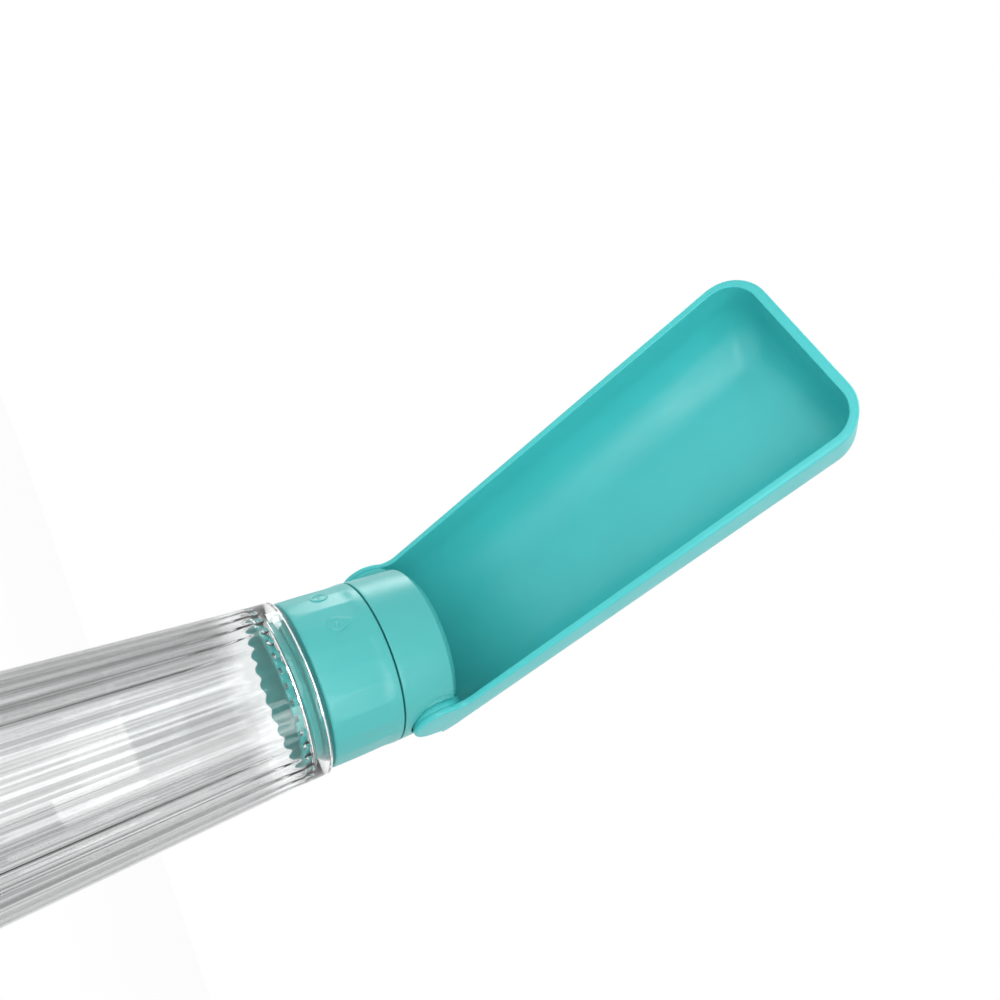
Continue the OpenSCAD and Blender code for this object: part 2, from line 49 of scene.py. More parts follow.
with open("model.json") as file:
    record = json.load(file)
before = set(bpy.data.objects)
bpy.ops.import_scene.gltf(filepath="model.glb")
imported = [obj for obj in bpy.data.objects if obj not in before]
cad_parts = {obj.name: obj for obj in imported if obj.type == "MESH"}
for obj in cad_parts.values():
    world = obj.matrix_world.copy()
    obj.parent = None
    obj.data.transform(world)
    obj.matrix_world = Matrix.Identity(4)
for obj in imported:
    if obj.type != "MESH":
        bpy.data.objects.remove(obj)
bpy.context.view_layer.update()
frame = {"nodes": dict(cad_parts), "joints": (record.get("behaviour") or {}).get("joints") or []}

MM = 0.001
COLLAR_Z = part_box("collar")[0].z
HINGE = Vector(next(j["pos_m"] for j in frame["joints"] if j["name"] == "trough_swing"))
CAP_RADIUS = 0.036  # of collar and head
SIDE_RIM = 0.5  # share of the end rim's extra width that the side rims have
OUTLET_Y, VENT_Y = 0.0065, -0.008  # centres of the two holes in the head's face
SIDES = 288  # of a large turned piece
PLUG_SIDES = 192  # of gasket and plug
SMALL_SIDES = 96  # of rods, holes and the small turned pieces
NEAR = 1e-6  # points closer than this are at one place


def length(title, about, default):
    """A length that a user can change."""
    return FloatProperty(name=title, description=about, default=default, unit="LENGTH",
                         subtype="DISTANCE", precision=5)


def angle(title, about, degrees):
    """An angle that a user can change."""
    return FloatProperty(name=title, description=about, default=math.radians(degrees),
                         unit="ROTATION", subtype="ANGLE")


def number(title, about, default, low, high):
    """A count that a user can change."""
    return IntProperty(name=title, description=about, default=default, min=low, max=high)


def tint(title, about, default):
    """A colour that a user can change."""
    return FloatVectorProperty(name=title, description=about, default=default,
                               subtype="COLOR", size=3, min=0, max=1)


def srgb(code):
    """Linear colour of a hexadecimal sRGB one."""
    parts = [int(code[i:i + 2], 16) / 255 for i in (0, 2, 4)]
    return tuple(c / 12.92 if c <= 0.04045 else ((c + 0.055) / 1.055) ** 2.4 for c in parts)


def darker(colour, share):
    """A share of a colour; a share above 1 lightens it."""
    return tuple(c * share for c in colour)


# ---------- sizes and colours ----------


class BottleSizes(PropertyGroup):
    """Sizes of the clear bottle"""

    foot_radius: length("Foot radius", "Outer radius at the foot", 0.0398)
    mouth_radius: length("Mouth radius", "Outer radius at the mouth", 0.0366)
    wall: length("Wall", "Wall between the outside and the flutes", 0.0026)
    floor: length("Floor", "Thickness of the bottle's floor", 0.007)
    flute_depth: length("Flute depth", "Depth of a flute", 0.00075)
    flutes: number("Flutes", "Number of flutes inside the wall", 36, 12, 72)
    shoulder_drop: length("Shoulder drop", "Depth of the flutes' ends below the mouth", 0.0062)


class CollarSizes(PropertyGroup):
    """Sizes of the collar and its plug"""

    flats: number("Grip flats", "Number of flats round the collar", 24, 12, 48)
    flat_depth: length("Flat depth", "Depth of a flat at its middle", 0.0005)
    mark_size: length("Mark size", "Radius of a raised mark", 0.0036)
    thread_height: length("Thread height", "Height of the plug's thread", 0.0012)


class HeadSizes(PropertyGroup):
    """Sizes of the turning head"""

    edge: length("Front edge", "Width of the bevelled front edge", 0.0027)
    dish: length("Dish", "Depth of the dish in the front face", 0.001)
    pocket_radius: length("Pocket radius", "Radius of the pocket round an ear", 0.0121)


class TroughSizes(PropertyGroup):
    """Sizes of the trough"""

    lean: angle("Lean", "Angle between the open trough and the bottle's axis", 48.5)
    length: length("Length", "Length from the hinge axis to the far end", 0.21845)
    near_half_width: length("Near half-width", "Half of the width at the hinge", 0.0389)
    far_half_width: length("Far half-width", "Half of the width at the far end", 0.04565)
    near_depth: length("Near depth", "Depth at the hinge", 0.04165)
    far_depth: length("Far depth", "Depth at the far end", 0.04155)
    wall: length("Wall", "Thickness of the wall", 0.0026)
    floor: length("Floor", "Thickness of the floor", 0.0024)
    rim_width: length("Rim width", "Width of the thick rim at the far end", 0.0045)
    rim_fade: length("Rim fade", "Depth over which the thick rim fades into the wall", 0.016)
    rim_round: length("Rim rounding", "Radius of the rim's outer edge", 0.0013)
    lip_round: length("Lip rounding", "Radius of the rim's inner edge", 0.0005)
    near_round: length("Near rounding", "Radius between wall and floor at the hinge", 0.031)
    side_round: length("Side rounding", "Radius between side wall and floor at the far end", 0.026)
    end_round: length("End rounding", "Radius between end wall and floor", 0.019)
    corner: length("Corner", "Radius of the far corners, from above", 0.018)
    draft: length("Draft", "How far the far walls lean in", 0.0004)
    near_sweep: angle("Near sweep", "Angle that the near end wraps round the hinge", 33)
    ear_radius: length("Ear radius", "Radius of a hinge ear", 0.0115)
    ear_fillet: length("Ear fillet", "Hollow radius between rim and ear", 0.007)
    stop_radius: length("Stop radius", "Distance of the stop rib from the hinge", 0.03649)
    stop_angle: angle("Stop angle", "Angle from the hinge's depth line to the rib", 34.7)


class Colours(PropertyGroup):
    """Colours of the plastics"""

    shell: tint("Shell", "Collar and head", srgb("4DB5B3"))
    trough: tint("Trough", "Drinking trough", srgb("46C2C3"))
    gasket: tint("Gasket", "Mouth gasket", srgb("14686A"))
    clear: tint("Clear", "Clear bottle", srgb("FAFCFC"))
    plug: tint("Plug", "Threaded plug", srgb("109A96"))
    white: tint("White", "Valve seat, valve disc and funnel", srgb("E6E8E6"))
    seal: tint("Seal", "Inner seals and friction washers", srgb("383B3D"))
    steel: tint("Steel", "Screw, spring washer and hinge pins", srgb("C9CACC"))


# ---------- modelling ----------


def deselect():
    """Leave edit mode with nothing selected."""
    if bpy.context.object and bpy.context.object.mode != "OBJECT":
        bpy.ops.object.mode_set(mode="OBJECT")
    bpy.ops.object.select_all(action="DESELECT")


def activate(obj):
    """Make obj the only selected object."""
    deselect()
    obj.select_set(True)
    bpy.context.view_layer.objects.active = obj


@contextmanager
def editing(obj):
    """Edit mode on obj, with all of it selected at first."""
    activate(obj)
    bpy.ops.object.mode_set(mode="EDIT")
    bpy.ops.mesh.select_mode(type="VERT")
    bpy.ops.mesh.select_all(action="SELECT")
    yield
    bpy.ops.object.mode_set(mode="OBJECT")


def named(name):
    """Name the object that was just added and put its place into its mesh."""
    obj = bpy.context.object
    obj.name = obj.data.name = name
    bpy.ops.object.transform_apply(location=True, rotation=True, scale=True)
    return obj


def pick(obj, kind, test):
    """In edit mode, select the vertices, edges or faces that pass a test."""
    bpy.ops.mesh.select_mode(type=kind)
    bpy.ops.mesh.select_all(action="DESELECT")
    mesh = bmesh.from_edit_mesh(obj.data)
    parts = {"VERT": mesh.verts, "EDGE": mesh.edges, "FACE": mesh.faces}[kind]
    for part in [part for part in parts if test(part)]:
        part.select_set(True)
    mesh.select_flush_mode()
    bmesh.update_edit_mesh(obj.data)


def face_outward():
    """In edit mode, turn all faces outwards."""
    bpy.ops.mesh.select_all(action="SELECT")
    bpy.ops.mesh.normals_make_consistent(inside=False)


def close_up(obj):
    """Merge doubles, close open ends and turn all faces outwards."""
    with editing(obj):
        bpy.ops.mesh.remove_doubles(threshold=NEAR)
        bpy.ops.mesh.fill_holes(sides=0)
        face_outward()


def smooth(obj, degrees=30):
    """Shade obj smooth, with edges sharper than an angle kept."""
    activate(obj)
    bpy.ops.object.shade_smooth_by_angle(angle=math.radians(degrees))


def add_modifier(obj, kind, **settings):
    """Add a modifier, set it and apply it."""
    activate(obj)
    bpy.ops.object.modifier_add(type=kind)
    modifier = obj.modifiers[-1]
    for key, value in settings.items():
        setattr(modifier, key, value)
    bpy.ops.object.modifier_apply(modifier=modifier.name)


def combine(obj, tool, operation="DIFFERENCE"):
    """Cut a tool from obj, or join it on, and delete the tool."""
    add_modifier(obj, "BOOLEAN", operation=operation, solver="EXACT", object=tool)
    if not obj.data.vertices:
        raise RuntimeError(f"{obj.name} was lost when {tool.name} was combined with it")
    bpy.data.objects.remove(tool, do_unlink=True)


def even_out(obj):
    """Split all faces into well-shaped triangles, so no straight edge point is skipped."""
    with editing(obj):
        bpy.ops.mesh.quads_convert_to_tris(quad_method="BEAUTY", ngon_method="BEAUTY")


def pull(profile):
    """In edit mode, extrude the selected loop along a profile of (radius, height) pairs."""
    for (r0, z0), (r1, z1) in zip(profile, profile[1:]):
        bpy.ops.mesh.extrude_edges_move(TRANSFORM_OT_translate={"value": (0, 0, z1 - z0)})
        bpy.ops.transform.resize(value=(r1 / r0, r1 / r0, 1), center_override=(0, 0, z1))


def turned(name, profile, sides=SIDES, closed=True):
    """Turned piece with a profile of (radius, height) pairs that returns to its start if closed."""
    deselect()
    radius, height = profile[0]
    bpy.ops.mesh.primitive_circle_add(vertices=sides, radius=radius, location=(0, 0, height))
    obj = named(name)
    with editing(obj):
        pull(profile + profile[:1] * closed)
    close_up(obj)
    return obj


def hollowed(obj, lid, profile):
    """Take the flat lid off a turned piece and pull a hollow along a profile from its edge."""
    with editing(obj):
        pick(obj, "FACE", lambda face: len(face.verts) > 4 and lid(face.calc_center_median().z))
        bpy.ops.mesh.delete(type="FACE")
        pick(obj, "EDGE", lambda edge: edge.is_boundary)
        pull(profile)


def reshape(obj, move):
    """Move each vertex of obj to move(point)."""
    for vertex in obj.data.vertices:
        vertex.co = move(vertex.co)
    obj.data.update()


def moved(obj, matrix):
    """Move all of obj's mesh by a matrix."""
    reshape(obj, lambda point: matrix @ point)


def scaled_xy(point, radius, wanted):
    """The point, which is a radius from the Z axis, at a wanted radius."""
    return Vector((point.x * wanted / radius, point.y * wanted / radius, point.z))


def arc(cx, cy, r, start, end, steps):
    """Points on an arc between two angles in degrees."""
    turns = [math.radians(start + (end - start) * i / steps) for i in range(steps + 1)]
    return [(cx + r * math.cos(t), cy + r * math.sin(t)) for t in turns]


def in_mm(points, lift=0.0):
    """Profile in metres from one in millimetres above a level."""
    return [(r * MM, z * MM + lift) for r, z in points]


def rod_x(name, radius, x0, x1, axis, sides=SMALL_SIDES):
    """Cylinder from x0 to x1, along X through a point of its axis."""
    deselect()
    bpy.ops.mesh.primitive_cylinder_add(
        vertices=sides, radius=radius, depth=x1 - x0,
        location=((x0 + x1) / 2, axis.y, axis.z), rotation=(0, math.pi / 2, 0))
    return named(name)


def turned_over(obj):
    """Move obj to the other side of the YZ plane."""
    activate(obj)
    obj.scale.x = -1
    bpy.ops.object.transform_apply(location=True, rotation=True, scale=True)
    with editing(obj):
        face_outward()


# ---------- materials ----------


class Value:
    """Output of a node, for arithmetic."""

    def __init__(self, nodes, socket):
        self.nodes = nodes
        self.socket = socket

    def _math(self, operation, other):
        return self.nodes.add("ShaderNodeMath", {"operation": operation}, {0: self, 1: other})

    def __add__(self, other):
        return self._math("ADD", other)

    def __mul__(self, other):
        return self._math("MULTIPLY", other)

    def __or__(self, other):
        """The larger of the two."""
        return self._math("MAXIMUM", other)

    __radd__ = __add__
    __rmul__ = __mul__
    __ror__ = __or__


class Nodes:
    """Node tree of a material or a world, built node by node."""

    def __init__(self, owner):
        owner.use_nodes = True
        self.tree = owner.node_tree
        self.tree.nodes.clear()

    def add(self, kind, settings=None, inputs=None, output=0):
        """Add a node, apply its settings, then its inputs, and return one output."""
        node = self.tree.nodes.new(kind)
        for key, value in (settings or {}).items():
            setattr(node, key, value)
        for key, value in (inputs or {}).items():
            socket = node.inputs[key]
            if isinstance(value, Value):
                self.tree.links.new(value.socket, socket)
            elif socket.type == "RGBA":
                socket.default_value = (*value, 1)
            else:
                socket.default_value = value
        return Value(self, node.outputs[output]) if node.outputs else None

    def ray(self, *kinds):
        """1 for rays of these kinds."""
        found = None
        for kind in kinds:
            ray = self.add("ShaderNodeLightPath", output=f"Is {kind} Ray")
            found = found | ray if found else ray
        return found

    def blend(self, factor, a, b):
        """Shader between a and b."""
        return self.add("ShaderNodeMixShader", None, {0: factor, 1: a, 2: b})

    def finish(self, shader, kind="ShaderNodeOutputMaterial"):
        """Connect the shader to the output."""
        self.add(kind, None, {"Surface": shader})


class Finish(Nodes):
    """A material in object coordinates."""

    def __init__(self, name):
        self.material = bpy.data.materials.new(name)
        super().__init__(self.material)
        self.place = self.add("ShaderNodeTexCoord", output="Object")

    def noise(self, scale, detail=3.0, roughness=0.5, where=None):
        """Noise from 0 to 1 at a scale per metre."""
        return self.add("ShaderNodeTexNoise", None, {
            "Vector": where or self.place, "Scale": scale,
            "Detail": detail, "Roughness": roughness})

    def stretched(self, x, y, z):
        """Object coordinates, stretched."""
        return self.add("ShaderNodeMapping", None, {"Vector": self.place, "Scale": (x, y, z)})

    def mix(self, factor, a, b):
        """Colour between a and b."""
        return self.add("ShaderNodeMix", {"data_type": "RGBA"}, {0: factor, 6: a, 7: b}, output=2)

    def between(self, value, low, high, to_low=0.0, to_high=1.0):
        """Value carried from one range to another, and clamped."""
        return self.add("ShaderNodeMapRange", {"clamp": True},
                        {0: value, 1: low, 2: high, 3: to_low, 4: to_high})

    def spread(self, noise, low=0.0, high=1.0):
        """Noise carried to a range; most of it lies between 0.3 and 0.7."""
        return self.between(noise, 0.3, 0.7, low, high)

    def bump(self, height, strength, distance):
        """Normal from a height."""
        return self.add("ShaderNodeBump", None,
                        {"Height": height, "Strength": strength, "Distance": distance})

    def plastic(self, **inputs):
        """Principled shader; underscores in names stand for spaces."""
        return self.add("ShaderNodeBsdfPrincipled", None,
                        {key.replace("_", " "): value for key, value in inputs.items()})

    def done(self, shader):
        """Connect the shader and return the material."""
        self.finish(shader)
        return self.material


def moulded_plastic(name, colour, roughness=0.36, grain=0.35, soft=0.02):
    """Satin moulded plastic: a faint cloud of tone, fine grain and patches of polish."""
    f = Finish(name)
    cloud = f.noise(22, 2)
    flow = f.noise(60, 4, 0.6, f.stretched(1, 1, 0.25))
    tone = f.spread(cloud * 0.6 + flow * 0.4)
    polish = f.spread(f.noise(35, 3), roughness - 0.05, roughness + 0.05)
    fine = f.noise(2600, 2, 0.7)
    return f.done(f.plastic(
        Base_Color=f.mix(tone, darker(colour, 0.955), darker(colour, 1.03)),
        Roughness=polish,
        IOR=1.49,
        Subsurface_Weight=soft,
        Subsurface_Radius=(0.6, 1.0, 1.0),
        Subsurface_Scale=0.003,
        Normal=f.bump(fine, grain, 0.00003)))


def clear_plastic(name, colour, neck):
    """Clear plastic: painted grey streaks of reflection and shade and faint draw lines along the
    wall, with the painted streaks faded out at the neck.
    """
    f = Finish(name)
    # painted reflection and shade: long grey streaks down the wall that stand in for surroundings
    # seen in and through the bottle
    painted_reflection_streaks = f.noise(85, 3, 0.55, f.stretched(1, 1, 0.05))
    lines = f.noise(420, 2, 0.5, f.stretched(1, 1, 0.02))
    scuffs = f.noise(160, 4, 0.6)
    haze = f.between(scuffs, 0.45, 0.8, 0.012, 0.07)
    height = f.add("ShaderNodeSeparateXYZ", None, {"Vector": f.place}, "Z")
    # mask that fades the painted reflection streaks out just below the mouth
    near_neck = f.between(height, neck - 0.022, neck - 0.012)
    tone = f.between(painted_reflection_streaks * 0.75 + lines * 0.25, 0.36, 0.64) + near_neck
    body = f.plastic(
        # the dark end of this mix is painted grey reflection and shade, not a tint of the plastic
        Base_Color=f.mix(tone, darker(colour, 0.36), darker(colour, 0.97)),
        Roughness=haze,
        IOR=1.5,
        Transmission_Weight=1.0,
        Normal=f.bump(lines, 0.25, 0.00004))
    open_air = f.add("ShaderNodeBsdfTransparent", None, {"Color": darker(colour, 0.93)})
    return f.done(f.blend(f.ray("Shadow") * 0.85, body, open_air))


def rubber(name, colour):
    """Silicone: matt, with a dusty mottle and a soft sheen."""
    f = Finish(name)
    mottle = f.noise(240, 4, 0.6)
    fine = f.noise(1500, 3, 0.7)
    return f.done(f.plastic(
        Base_Color=f.mix(f.spread(mottle), darker(colour, 0.85), darker(colour, 1.2)),
        Roughness=f.spread(mottle, 0.47, 0.63),
        Sheen_Weight=0.15,
        Normal=f.bump(fine, 0.4, 0.00004)))


def brushed_steel(name, colour):
    """Turned steel with rings of fine brush marks round the bottle's axis."""
    f = Finish(name)
    brush = f.noise(2200, 3, 0.6, f.stretched(1, 1, 6))
    return f.done(f.plastic(
        Base_Color=f.mix(f.spread(brush), darker(colour, 0.88), colour),
        Metallic=1.0,
        Roughness=f.spread(brush, 0.22, 0.42),
        Normal=f.bump(brush, 0.3, 0.00003)))


MATERIALS = {}


def dress(obj, material, body=None, replaced=()):
    """Give obj its finish and slot, and let it ride on a body in place of CAD nodes."""
    obj.data.materials.clear()
    obj.data.materials.append(MATERIALS[material])
    if body:
        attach(obj, body)
    if replaced:
        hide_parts(*replaced)


class BOTTLE_OT_finishes(Operator):
    """Make the procedural finishes of all pieces"""

    bl_idname = "dog_bottle.finishes"
    bl_label = "Finishes"

    def execute(self, context):
        colours = context.scene.bottle_colours
        MATERIALS.update(
            shell=moulded_plastic("teal_shell", colours.shell, 0.32),
            trough=moulded_plastic("teal_trough", colours.trough, 0.36, 0.3, 0.03),
            plug=moulded_plastic("teal_plug", colours.plug, 0.5, 0.2, 0.0),
            nozzle=moulded_plastic("teal_nozzle", darker(colours.shell, 0.55), 0.34, 0.2, 0.0),
            white=moulded_plastic("white_valve_plastic", colours.white, 0.4, 0.25, 0.02),
            clear=clear_plastic("clear_bottle_plastic", colours.clear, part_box("bottle")[1].z),
            gasket=rubber("gasket_silicone", colours.gasket),
            seal=rubber("black_silicone", colours.seal),
            steel=brushed_steel("steel", colours.steel))
        return {"FINISHED"}


# ---------- pieces ----------


class BOTTLE_OT_clear_bottle(Operator):
    """Thick clear bottle with flutes moulded inside its wall"""

    bl_idname = "dog_bottle.clear_bottle"
    bl_label = "Clear bottle"

    def execute(self, context):
        s = context.scene.bottle_sizes
        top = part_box("bottle")[1].z
        h, foot, mouth, wall = (size / MM for size in (top, s.foot_radius, s.mouth_radius, s.wall))
        floor, shoulder = s.floor / MM, h - s.shoulder_drop / MM
        bore, lip_round, foot_round, floor_round, neck = 32.1, 0.9, 4.5, 7, 14
        levels = (h - 20, 120, 90, 60, 30)
        quarter = [math.radians(degrees) for degrees in (15, 30, 45, 60, 75, 90)]

        def outer(z):
            """Outer radius: a cone from the foot's rounding to the straight neck."""
            cone = h - neck - foot_round
            return foot + (mouth - foot) * max(0, z - foot_round) / cone if z < h - neck else mouth

        start = (bore, shoulder + 0.6)
        outside = [start, (bore, h - 0.7), (bore + 0.7, h), (mouth - lip_round, h)]
        outside += arc(mouth - lip_round, h - lip_round, lip_round, 60, 0, 3)
        outside += [(mouth, h - 8), (mouth, h - neck)]
        outside += [(outer(z), z) for z in (*levels, 10)]
        outside += arc(foot - foot_round, foot_round, foot_round, 0, -90, 8)
        outside += [(foot - 7.5, 0), (foot - 8.3, 0.3), (foot - 10, 1.5), (foot - 25, 3), (1, 3.2)]
        # from the start again: shoulder, fluted wall, rounded floor
        inside = [start, (bore + 0.15, shoulder + 0.35)]
        inside += [(bore + 2.4 * math.sin(a), shoulder - 4.2 * (1 - math.cos(a))) for a in quarter]
        inside += [(outer(z) - wall, z) for z in (*levels, floor + 8)]
        inside += [(outer(floor) - wall - floor_round * (1 - math.cos(a)),
                    floor + floor_round * (1 - math.sin(a))) for a in quarter]
        inside += [(15, floor), (1, floor)]
        shell = turned("clear_bottle", in_mm(outside), s.flutes * 12, closed=False)
        hollowed(shell, lambda z: z > top * 0.8, in_mm(inside))

        def flute(point):
            """Raise a rib on the inner wall where the point is between two flutes."""
            radius, z = math.hypot(point.x, point.y), point.z / MM
            on_wall = 20 < radius / MM < outer(z) - wall * 0.9 and floor + 0.5 < z < shoulder
            if not on_wall:
                return point
            turn = math.atan2(point.y, point.x) * s.flutes / math.tau
            ridge = abs((turn % 1) - 0.5) * 2
            rise = s.flute_depth * (0.5 - 0.5 * math.cos(math.pi * ridge)) ** 1.5
            return scaled_xy(point, radius, min(radius, (outer(z) - wall) * MM - rise))

        reshape(shell, flute)
        close_up(shell)
        smooth(shell, 35)
        dress(shell, "clear", "bottle", ["bottle"])
        return {"FINISHED"}


class BOTTLE_OT_gasket(Operator):
    """Mouth gasket with rounded edges"""

    bl_idname = "dog_bottle.gasket"
    bl_label = "Mouth gasket"

    def execute(self, context):
        low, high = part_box("mouth_gasket")
        inner, outer, low_z, high_z = 30.9, high.x / MM, low.z / MM, high.z / MM
        profile = [(inner, low_z + 0.2), (inner + 0.2, low_z), (outer - 0.3, low_z),
                   (outer - 0.06, low_z + 0.2), (outer, low_z + 0.6), (outer - 0.06, high_z - 0.2),
                   (outer - 0.3, high_z), (inner + 0.2, high_z), (inner, high_z - 0.2)]
        ring = turned("mouth_seal", in_mm(profile), PLUG_SIDES)
        smooth(ring)
        dress(ring, "gasket", "gasket", ["mouth_gasket"])
        return {"FINISHED"}


class BOTTLE_OT_plug(Operator):
    """Tube that screws into the bottle, with its thread"""

    bl_idname = "dog_bottle.plug"
    bl_label = "Threaded plug"

    def execute(self, context):
        height = context.scene.collar_sizes.thread_height
        bore, outside, step, flange = 26.8, 30.4, 32.1, 33.1
        profile = [(bore, -9.6), (27.2, -10), (29.4, -10), (30.1, -9.6), (outside, -8.9),
                   (outside, 0), (step, 0), (step, 1.2), (flange, 1.2), (flange, 3), (outside, 3),
                   (outside, 20), (bore, 20)]
        plug = turned("screw_plug", in_mm(profile, COLLAR_Z), PLUG_SIDES)
        thread = self.thread(0.0299, outside * MM + height, COLLAR_Z - 0.0082, 0.0056, 2)
        combine(plug, thread, "UNION")
        even_out(plug)
        smooth(plug, 35)
        dress(plug, "plug", "cap", ["threaded_plug"])
        return {"FINISHED"}

    @staticmethod
    def thread(root, crest, start_z, rise, turns):
        """Ridge round the plug: it rises over a number of turns and fades out at both ends."""
        middle, half_root, half_crest, steps = 0.0305, 0.0008, 0.0004, 72 * turns
        start = Vector((middle, 0, start_z))
        bpy.ops.mesh.primitive_plane_add(size=0.002, location=start)
        thread = named("thread")
        with editing(thread):
            bpy.ops.transform.rotate(value=math.pi / 2, orient_axis="X", center_override=start)

        def trapezoid(point):
            radius, half = (crest, half_crest) if point.x > middle else (root, half_root)
            return Vector((radius, 0, start_z + math.copysign(half, point.z - start_z)))

        reshape(thread, trapezoid)
        with editing(thread):
            bpy.ops.mesh.delete(type="ONLY_FACE")
        add_modifier(thread, "SCREW", angle=math.tau * turns, screw_offset=rise, steps=steps,
                     render_steps=steps, use_merge_vertices=False)
        close_up(thread)
        # no point of the thread stands over a point of the plug
        off_line = Matrix.Rotation(math.radians(1.1), 3, "Z")

        def fade(point):
            """Lower the crest near the thread's ends."""
            radius = math.hypot(point.x, point.y)
            if radius < root + 0.0003:
                return off_line @ point
            along = (point.z - start_z) / rise
            share = min(1, max(0.05, min(along, 1 - along) * 14))
            return off_line @ scaled_xy(point, radius, root + (radius - root) * share)

        reshape(thread, fade)
        return thread


class BOTTLE_OT_collar(Operator):
    """Collar with soft grip flats and two raised marks"""

    bl_idname = "dog_bottle.collar"
    bl_label = "Collar"

    def execute(self, context):
        s = context.scene.collar_sizes
        outside, skirt, spigot, bore, spigot_top = CAP_RADIUS / MM, 33.2, 30.8, 26.5, 33.2
        profile = [(32.2, 0.1), (32.3, 0), (34.3, 0)]
        profile += arc(34.1, 1.2, 1.2, -70, 0, 5)
        profile += [(35.4, 2.6), (35.62, 6), (35.85, 10)]
        profile += [(outside, z) for z in (14, 17, 20, 21.5, 23, 24.2, 25.2, 26.6)]
        profile += arc(outside - 0.5, 26.7, 0.5, 0, 90, 4)
        profile += [(29.4, 27.2), (29.4, 31.8), (spigot, 31.8), (spigot, 32.7), (30.3, spigot_top),
                    (bore, spigot_top), (bore, 24), (skirt, 24), (skirt, 1.1), (32.2, 1.1)]
        collar = turned("collar_shell", in_mm(profile, COLLAR_Z))
        inner_wall, flats_top, fade_start, fade_length = 0.034, 25.2, 21.2, 3.8
        apothem = CAP_RADIUS - s.flat_depth
        step = math.tau / s.flats

        def flats(point):
            """Draw the outside in to flats that fade out below the seam."""
            radius = math.hypot(point.x, point.y)
            height = (point.z - COLLAR_Z) / MM
            if radius < inner_wall or not 0.05 <= height <= flats_top:
                return point
            turn = (math.atan2(point.y, point.x) + step / 2) % step - step / 2
            flat = min(apothem / math.cos(turn), CAP_RADIUS - 0.00004)
            fade = min(1, max(0, (height - fade_start) / fade_length))
            flat += (CAP_RADIUS - flat) * fade ** 2 * (3 - 2 * fade)
            return scaled_xy(point, radius, min(radius, flat - (CAP_RADIUS - radius) * 0.35))

        reshape(collar, flats)
        smooth(collar, 20)
        dress(collar, "shell", "cap", ["collar"])
        self.marks(s.mark_size, apothem)
        return {"FINISHED"}

    @staticmethod
    def marks(size, apothem):
        """Drop for open and ring with a bar for closed, raised on the flats."""
        height, sunk, flatten = 0.0136, 0.00003, 0.62

        def drop(point):
            along = max(0, -point.x / math.hypot(point.x, point.y)) ** 3
            return Vector((point.x * (1 + 0.75 * along), point.y * (1 - 0.28 * along), point.z))

        def bar(point):
            return Vector((point.x * 0.71 + 0.00002, point.y * 2.43, point.z * 0.61 + 0.00003))

        bpy.ops.object.select_all(action="DESELECT")
        for name, degrees in (("mark_open", -97.5), ("mark_closed", -127.5)):
            bpy.ops.mesh.primitive_torus_add(major_radius=size * 0.82, minor_radius=size * 0.2,
                                             major_segments=64, minor_segments=12)
            ring = named(name)
            bpy.ops.mesh.primitive_uv_sphere_add(segments=32, ring_count=16, radius=size * 0.3)
            middle = named(name + "_middle")
            if name == "mark_open":
                reshape(ring, drop)
            else:
                reshape(middle, bar)
            combine(ring, middle, "UNION")
            stand = (Matrix.Rotation(math.radians(degrees), 4, "Z")
                     @ Matrix.Translation((apothem - sunk, 0, COLLAR_Z + height))
                     @ Matrix.Rotation(math.pi / 2, 4, "Y") @ Matrix.Diagonal((1, 1, flatten, 1)))
            moved(ring, stand)
            smooth(ring, 60)
            dress(ring, "shell", "cap")


class BOTTLE_OT_head(Operator):
    """Turning head with a rounded front edge and the pockets of the hinge"""

    bl_idname = "dog_bottle.head"
    bl_label = "Head"

    def execute(self, context):
        s = context.scene.head_sizes
        outside, low, top, ceiling, sleeve, inside = CAP_RADIUS / MM, 27.85, 51.2, 48.2, 31.6, 33
        edge, dish = s.edge / MM, top - s.dish / MM
        profile = [(sleeve, low), (35.5, low)]
        profile += arc(outside - 0.4, 28.2, 0.4, -60, 0, 3)
        profile += [(outside, 30), (outside, 36), (outside, 42)]
        profile += [(outside, top - edge - 0.25), (35.96, top - edge), (35.85, top - edge + 0.2),
                    (outside - edge + 0.35, top - 0.3), (outside - edge + 0.1, top - 0.1),
                    (outside - edge - 0.3, top)]
        profile += [(30.6, top), (30.2, top - 0.1), (29.4, dish + 0.1)]
        profile += [(29, dish), (14, dish), (0.5, dish)]
        hollow = [profile[0], (sleeve, 33.6), (31.9, 34), (inside, 34), (inside, ceiling),
                  (14, ceiling), (0.5, ceiling)]
        head = turned("head_shell", in_mm(profile, COLLAR_Z), closed=False)
        hollowed(head, lambda z: z < COLLAR_Z + 0.03, in_mm(hollow, COLLAR_Z))
        close_up(head)
        for side in (-1, 1):
            backing = rod_x("backing", 0.0135, 0.0303, 0.034, HINGE)
            self.trim(backing, 0.0484, clear_outer=True)
            self.trim(backing, 0.0338, clear_inner=True)
            combine(backing, rod_x("boss", 0.0065, 0.0279, 0.0305, HINGE), "UNION")
            pocket = rod_x("pocket", s.pocket_radius, 0.0324, 0.05, HINGE, 144)
            seat = rod_x("seat", 0.008, 0.0318, 0.0335, HINGE)
            for tool in (backing, pocket, seat):
                if side < 0:
                    turned_over(tool)
                combine(head, tool, "UNION" if tool is backing else "DIFFERENCE")
        for y, radius in ((OUTLET_Y, 0.0061), (VENT_Y, 0.0016)):
            deselect()
            bpy.ops.mesh.primitive_cylinder_add(vertices=SMALL_SIDES, radius=radius, depth=0.01,
                                                location=(0, y, COLLAR_Z + 0.0497))
            combine(head, named("hole"))
        smooth(head, 28)
        dress(head, "shell", "head", ["head"])
        return {"FINISHED"}

    @staticmethod
    def trim(obj, height, **cleared):
        """Cut obj level at a height above the collar's foot."""
        with editing(obj):
            bpy.ops.mesh.bisect(plane_co=(0, 0, COLLAR_Z + height), plane_no=(0, 0, 1),
                                use_fill=True, **cleared)


